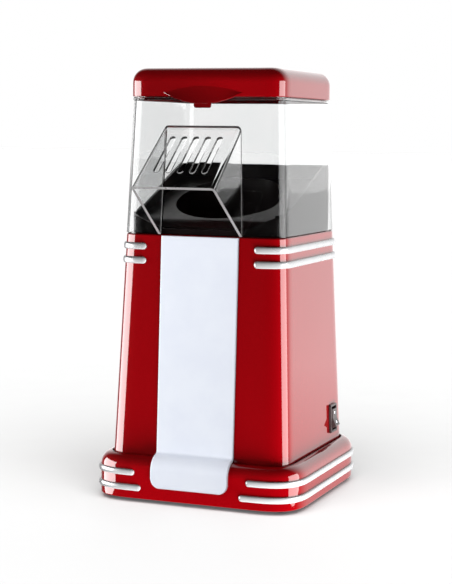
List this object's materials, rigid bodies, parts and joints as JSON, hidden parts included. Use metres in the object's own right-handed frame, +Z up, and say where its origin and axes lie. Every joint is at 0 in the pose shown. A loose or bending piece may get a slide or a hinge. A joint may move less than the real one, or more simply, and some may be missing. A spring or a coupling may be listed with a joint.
{
  "type": "popcorn maker",
  "caption": "Hot-air popcorn maker with a tapered body in a wide skirted base, a clear lift-off cover with a slotted exit hood, a rounded cap, a front slide and a side rocker switch.",
  "frame": {"origin": "on the floor, under the middle of the whole object's bounding box, hood included; the body's own axis is 15.9 mm behind it", "axes": "+Z up, -Y towards the front with the slide and exit hood, +X towards the side with the switch"},
  "size_m": [0.1572, 0.189, 0.305],
  "materials": {
    "red_plastic": "metallic candy gloss",
    "silver_trim": "metallised silver",
    "white_plastic": "satin gloss",
    "clear_plastic": "clear",
    "black_plastic": "gloss",
    "black_moulding": "matt",
    "rubber": "matt",
    "steel": "zinc plated",
    "aluminium": "satin",
    "mica": "matt sheet",
    "board": "circuit board"
  },
  "bodies": {
    "machine": {"base_skirt": "red_plastic", "base_trim_upper": "silver_trim", "base_trim_lower": "silver_trim", "bottom_cover": "black_moulding", "foot_1": "rubber", "foot_2": "rubber", "foot_3": "rubber", "foot_4": "rubber", "skirt_screw_1": "steel", "skirt_screw_2": "steel", "skirt_screw_3": "steel", "skirt_screw_4": "steel", "body_shell": "red_plastic", "body_trim_upper": "silver_trim", "body_trim_lower": "silver_trim", "front_slide": "white_plastic", "switch_housing": "black_plastic", "cord_bush": "rubber", "body_screw_1": "steel", "body_screw_2": "steel", "body_screw_3": "steel", "body_screw_4": "steel", "popping_chamber": "aluminium", "air_duct": "black_moulding", "heater_former": "mica", "heater_coil": "steel", "thermostat": "steel", "thermal_fuse": "steel", "motor_can": "steel", "motor_bracket": "steel", "rectifier_board": "board", "duct_screw_1": "steel", "duct_screw_2": "steel", "duct_screw_3": "steel", "bracket_screw_1": "steel", "bracket_screw_2": "steel", "bracket_screw_3": "steel"},
    "cover": {"clear_cover": "clear_plastic", "exit_hood": "clear_plastic", "inner_chute": "black_plastic"},
    "cap": {"top_cap": "red_plastic"},
    "rocker": {"switch_rocker": "black_plastic"},
    "fan": {"fan_impeller": "black_moulding", "motor_shaft": "steel"}
  },
  "joints": [
    {"name": "cover_lift", "type": "slide", "parent": "machine", "child": "cover", "axis": [0, 0, 1], "range_m": [0, 0.06]},
    {"name": "cap_lift", "type": "slide", "parent": "cover", "child": "cap", "axis": [0, 0, 1], "range_m": [0, 0.035]},
    {"name": "rocker_tilt", "type": "hinge", "parent": "machine", "child": "rocker", "pos_m": [0.06558, 0.0534, 0.04996], "axis": [0, 1, 0], "range_deg": [0, 22]},
    {"name": "fan_spin", "type": "hinge", "parent": "machine", "child": "fan", "pos_m": [0, 0.0159, 0.05], "axis": [0, 0, 1], "continuous": true}
  ]
}
